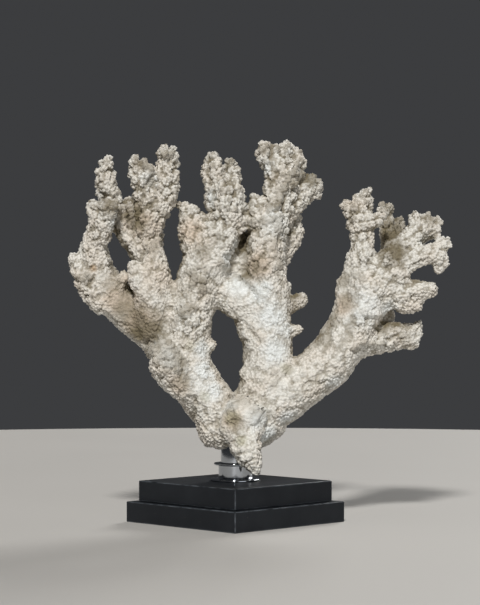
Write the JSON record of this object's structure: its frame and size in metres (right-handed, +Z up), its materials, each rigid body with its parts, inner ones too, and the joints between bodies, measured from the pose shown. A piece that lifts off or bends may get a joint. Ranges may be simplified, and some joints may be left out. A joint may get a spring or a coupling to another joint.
{
  "type": "branching coral on a stand",
  "caption": "Bleached branching coral with thick, knobbly branches, fixed on a chrome collar that stands on a two-tier square black slab.",
  "frame": {"origin": "middle of the stand's underside, on the surface it stands on", "axes": "+Z up; the coral spreads along X, and the side seen in the picture faces -Y"},
  "size_m": [0.3854, 0.2178, 0.3835],
  "materials": {
    "black_lacquer": "satin black lacquer, edges worn lighter",
    "chrome": "polished",
    "coral": "matt, bleached, crowded with small knobs"
  },
  "bodies": {
    "root": {"lower_plinth": "black_lacquer", "upper_plinth": "black_lacquer", "collar_sleeve": "chrome", "collar_neck": "chrome", "coral_root": "coral", "coral_left_stem": "coral", "coral_right_arm": "coral", "coral_centre_stem": "coral", "coral_bridge": "coral", "coral_left_arm": "coral", "coral_left_fork": "coral", "coral_blunt_finger": "coral", "coral_left_tips": "coral", "coral_centre_crown": "coral", "coral_right_inner_crown": "coral", "coral_right_outer_crown": "coral"}
  },
  "joints": []
}
